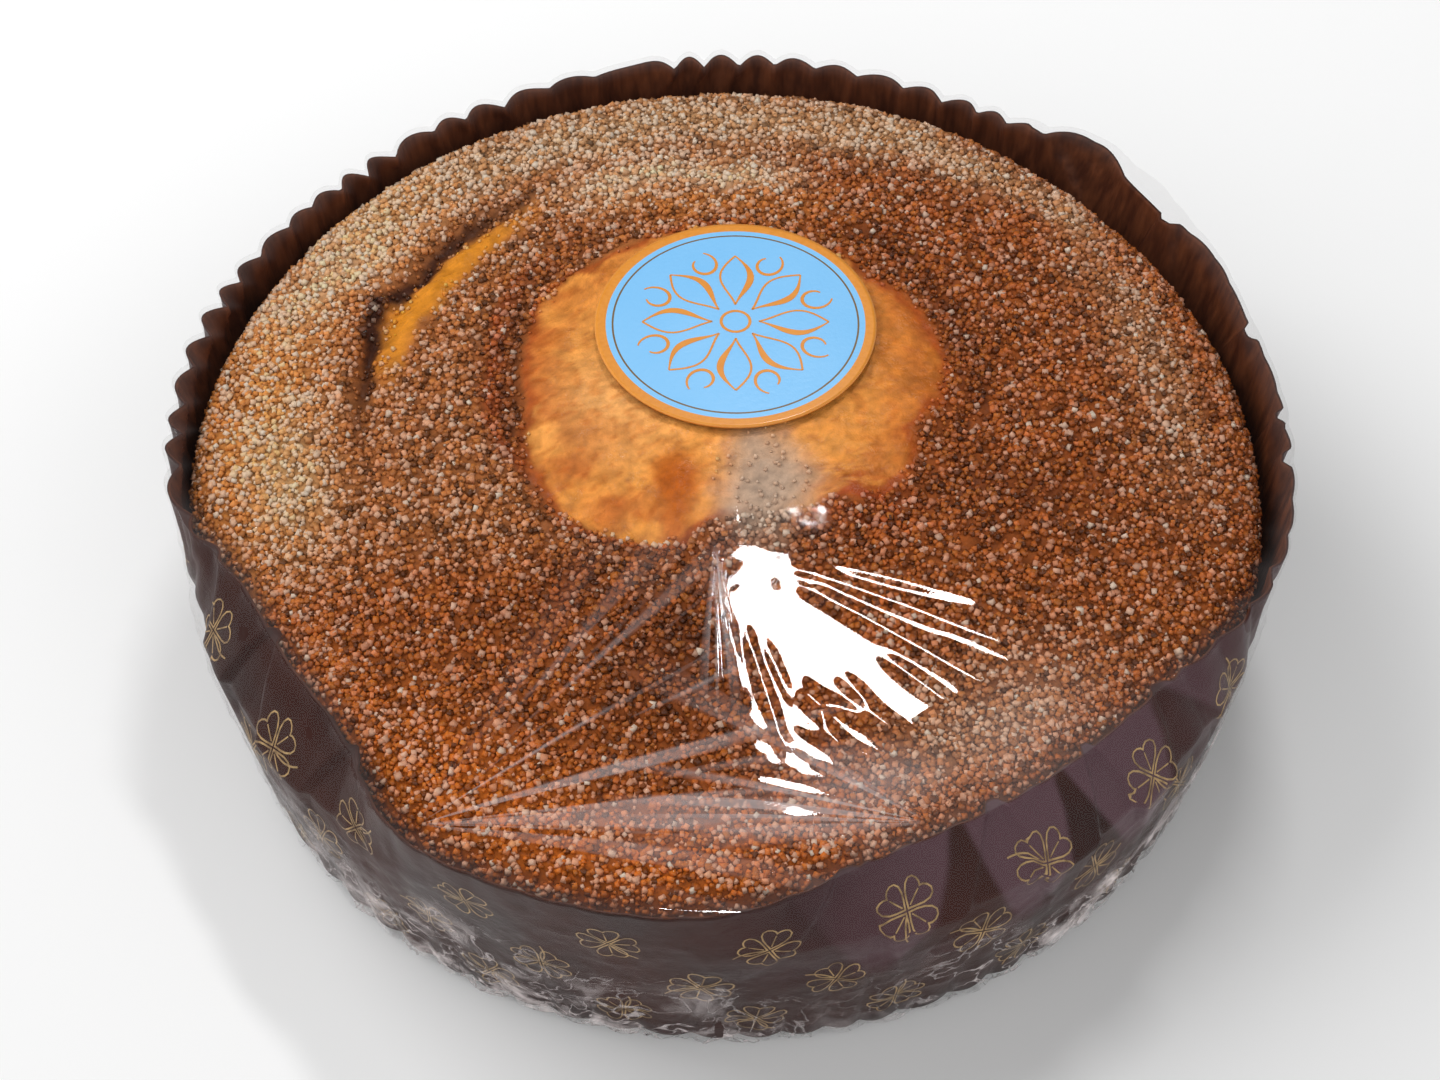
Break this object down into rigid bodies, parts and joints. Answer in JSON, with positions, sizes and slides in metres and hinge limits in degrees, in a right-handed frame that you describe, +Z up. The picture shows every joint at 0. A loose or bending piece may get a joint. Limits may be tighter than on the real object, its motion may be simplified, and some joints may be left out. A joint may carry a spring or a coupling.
{
  "type": "wrapped marble cake",
  "caption": "Round marble cake with a sugared swirl top, in a pleated brown paper case, wrapped in clear film with a round label.",
  "frame": {"origin": "middle of the underside, on the surface the wrapped cake stands on", "axes": "+Z up, -Y towards the viewer of the picture, +X to its right"},
  "size_m": [0.2012, 0.2017, 0.0562],
  "materials": {
    "cake_crust": "baked crumb crust, rough, with coarse white and amber sugar grains",
    "case_paper": "waxed dark brown baking paper, soft sheen, fine gold leaf-clover line print",
    "clear_film": "thin clear polypropylene film, high gloss, taut with fine creases",
    "label_paper": "smooth printed paper, light blue with a gold edge"
  },
  "bodies": {
    "root": {"cake": "cake_crust", "paper_case": "case_paper", "film_wrap": "clear_film", "label": "label_paper"}
  },
  "joints": []
}
